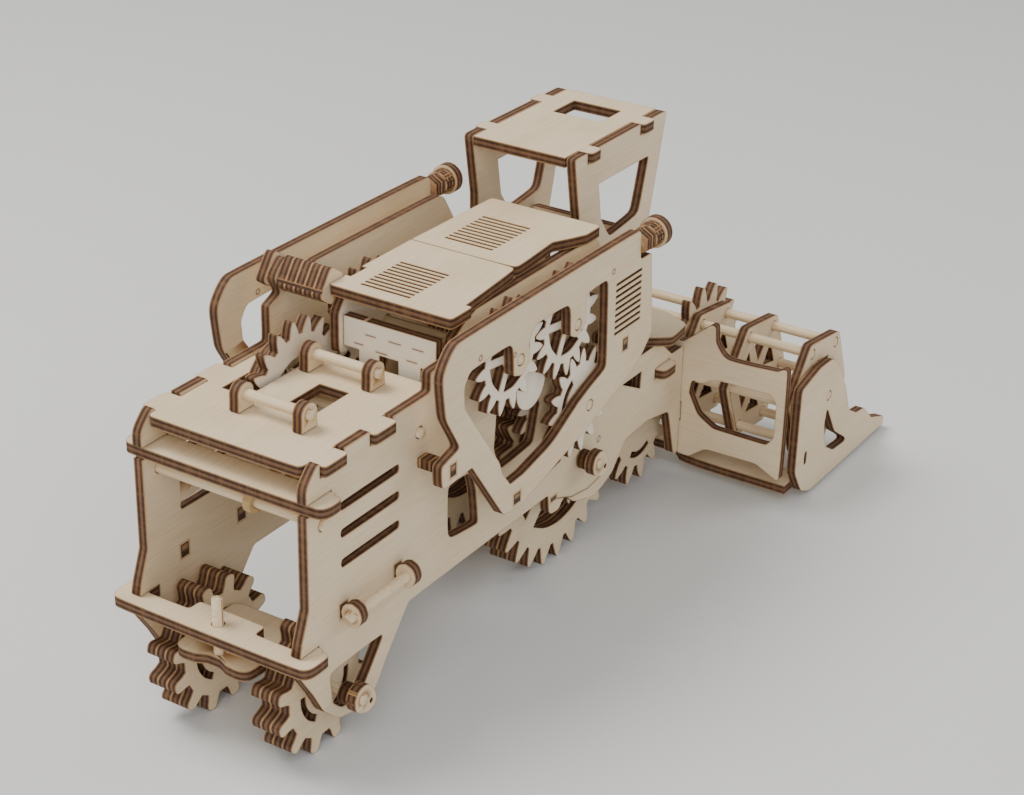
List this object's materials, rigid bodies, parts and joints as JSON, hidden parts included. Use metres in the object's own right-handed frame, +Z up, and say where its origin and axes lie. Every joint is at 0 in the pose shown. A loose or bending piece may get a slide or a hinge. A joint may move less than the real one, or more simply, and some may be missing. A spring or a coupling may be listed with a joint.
{
  "type": "mechanical wooden combine harvester puzzle",
  "caption": "Laser-cut plywood combine harvester puzzle with a geared drive, turning reel, steered rear wheels, cab and rubber-band motor",
  "frame": {"origin": "bottom centre of the bounding box, on the ground plane", "axes": "+X forward, from the open hood to the header; +Y to the left of travel; +Z up"},
  "size_m": [0.267, 0.131, 0.1221],
  "materials": {
    "birch_ply": "uncoated birch plywood, laser-cut, with charred brown edges",
    "stick_wood": "uncoated round sticks",
    "rubber": "natural rubber, matte"
  },
  "bodies": {
    "chassis": {"band_bar": "stick_wood", "cab_floor": "birch_ply", "cab_front_panel": "birch_ply", "cab_roof": "birch_ply", "cab_side_left": "birch_ply", "cab_side_right": "birch_ply", "deck_grip_front": "birch_ply", "deck_grip_rear": "birch_ply", "deck_plate": "birch_ply", "engine_cover_front": "birch_ply", "engine_cover_rear": "birch_ply", "engine_wall_left": "birch_ply", "engine_wall_rear": "birch_ply", "feeder_plate": "birch_ply", "handrail_left": "birch_ply", "handrail_right": "birch_ply", "header_back": "birch_ply", "header_board": "birch_ply", "header_end_left": "birch_ply", "header_end_right": "birch_ply", "lamp_left": "birch_ply", "lamp_right": "birch_ply", "rubber_band": "rubber", "shelf_lower": "birch_ply", "shelf_upper": "birch_ply", "side_cover_left": "birch_ply", "side_cover_right": "birch_ply", "side_panel_left": "birch_ply", "side_panel_right": "birch_ply", "spacer_disc": "birch_ply"},
    "start_lever": {"start_lever": "birch_ply"},
    "winding_ring": {"winding_ring": "birch_ply", "ring_hub": "birch_ply"},
    "gear_a": {"gear_a": "birch_ply", "gear_a_inner": "birch_ply"},
    "gear_b": {"gear_b": "birch_ply"},
    "gear_c": {"gear_c": "birch_ply", "gear_c_inner": "birch_ply"},
    "front_wheels": {"front_axle": "stick_wood", "axle_gear": "birch_ply", "front_wheel_right": "birch_ply", "front_wheel_left": "birch_ply"},
    "header_gear": {"header_gear": "birch_ply"},
    "reel": {"reel_gear": "birch_ply", "reel_rod_1": "stick_wood", "reel_rod_2": "stick_wood", "reel_rod_3": "stick_wood", "reel_rod_4": "stick_wood", "reel_rod_5": "stick_wood", "reel_rod_6": "stick_wood", "reel_shaft": "stick_wood", "reel_star_inner_left": "birch_ply", "reel_star_inner_right": "birch_ply", "reel_star_middle_left": "birch_ply", "reel_star_middle_right": "birch_ply", "reel_star_outer_left": "birch_ply", "reel_star_outer_right": "birch_ply"},
    "steering_beam": {"rear_beam": "birch_ply"},
    "rear_wheel_right": {"rear_wheel_right": "birch_ply"},
    "rear_wheel_left": {"rear_wheel_left": "birch_ply"}
  },
  "joints": [
    {"name": "front_axle_spin", "type": "hinge", "parent": "chassis", "child": "front_wheels", "pos_m": [0.0012, 0, 0.03487], "axis": [0, 1, 0], "continuous": true},
    {"name": "gear_c_spin", "type": "hinge", "parent": "chassis", "child": "gear_c", "pos_m": [-0.01192, -0.0321, 0.06018], "axis": [0, 1, 0], "continuous": true},
    {"name": "gear_b_spin", "type": "hinge", "parent": "chassis", "child": "gear_b", "pos_m": [-0.01982, -0.0321, 0.08756], "axis": [0, 1, 0], "continuous": true},
    {"name": "gear_a_spin", "type": "hinge", "parent": "chassis", "child": "gear_a", "pos_m": [-0.04831, 0, 0.0883], "axis": [0, 1, 0], "continuous": true},
    {"name": "winding_ring_spin", "type": "hinge", "parent": "chassis", "child": "winding_ring", "pos_m": [-0.07984, 0.0126, 0.07775], "axis": [0, 1, 0], "continuous": true},
    {"name": "header_gear_spin", "type": "hinge", "parent": "chassis", "child": "header_gear", "pos_m": [0.04848, 0, 0.023], "axis": [0, 1, 0], "continuous": true},
    {"name": "reel_spin", "type": "hinge", "parent": "chassis", "child": "reel", "pos_m": [0.08637, 0, 0.03112], "axis": [0, 1, 0], "continuous": true},
    {"name": "start_lever_pivot", "type": "hinge", "parent": "chassis", "child": "start_lever", "pos_m": [-0.0677, 0.015, 0.1043], "axis": [0, 1, 0], "range_deg": [-20, 20]},
    {"name": "steering", "type": "hinge", "parent": "chassis", "child": "steering_beam", "pos_m": [-0.1284, 0, 0.0368], "axis": [0, 0, 1], "range_deg": [-4, 4]},
    {"name": "rear_wheel_right_spin", "type": "hinge", "parent": "steering_beam", "child": "rear_wheel_right", "pos_m": [-0.1133, -0.0168, 0.01859], "axis": [0, 1, 0], "continuous": true},
    {"name": "rear_wheel_left_spin", "type": "hinge", "parent": "steering_beam", "child": "rear_wheel_left", "pos_m": [-0.1133, 0.0168, 0.01859], "axis": [0, 1, 0], "continuous": true}
  ],
  "couplings": [
    {"joint": "gear_c_spin", "follows": "front_axle_spin", "ratio": -1},
    {"joint": "gear_b_spin", "follows": "front_axle_spin", "ratio": 1},
    {"joint": "gear_a_spin", "follows": "front_axle_spin", "ratio": -1},
    {"joint": "winding_ring_spin", "follows": "front_axle_spin", "ratio": 0.75},
    {"joint": "header_gear_spin", "follows": "front_axle_spin", "ratio": -2},
    {"joint": "reel_spin", "follows": "front_axle_spin", "ratio": 1.4444}
  ]
}
